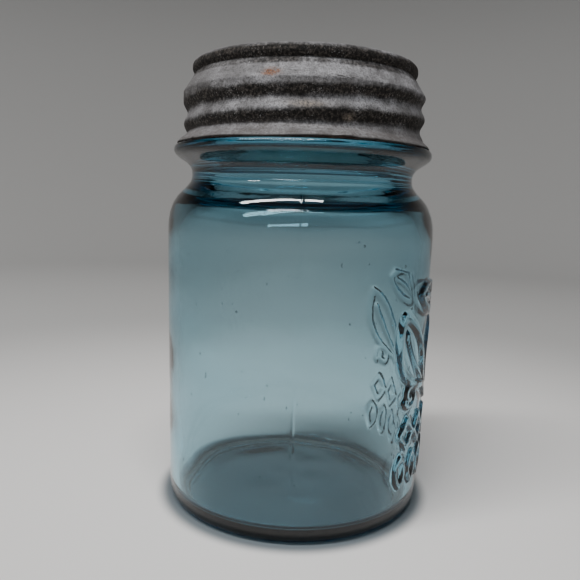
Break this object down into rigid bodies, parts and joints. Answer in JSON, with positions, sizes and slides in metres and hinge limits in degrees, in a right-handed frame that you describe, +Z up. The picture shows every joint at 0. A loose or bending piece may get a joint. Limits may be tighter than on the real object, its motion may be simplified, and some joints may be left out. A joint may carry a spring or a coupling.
{
  "type": "mason jar",
  "caption": "Pint glass canning jar with a screw thread, a ribbed zinc screw cap with its opal glass liner, and a rubber jar ring.",
  "frame": {"origin": "on the jar's axis, on the surface that the jar stands on", "axes": "+Z up along the jar's axis; -Y towards the side whose mould seam faces the viewer; +X towards the side that carries the moulded emblem"},
  "size_m": [0.082, 0.082, 0.1336],
  "materials": {
    "aqua_glass": "polished",
    "ring_rubber": "matte",
    "opal_glass": "gloss",
    "aged_zinc": "matte"
  },
  "bodies": {
    "jar": {"glass_jar": "aqua_glass", "jar_ring": "ring_rubber"},
    "liner": {"opal_liner": "opal_glass"},
    "cap": {"zinc_cap": "aged_zinc"}
  },
  "joints": [
    {"name": "cap_rise", "type": "slide", "parent": "jar", "child": "liner", "axis": [0, 0, 1], "range_m": [0, 0.032]},
    {"name": "cap_turn", "type": "hinge", "parent": "liner", "child": "cap", "pos_m": [0, 0, 0.1336], "axis": [0, 0, 1], "range_deg": [0, 1800]}
  ],
  "couplings": [
    {"joint": "cap_rise", "follows": "cap_turn", "m_per_rad": 0.0010106}
  ]
}
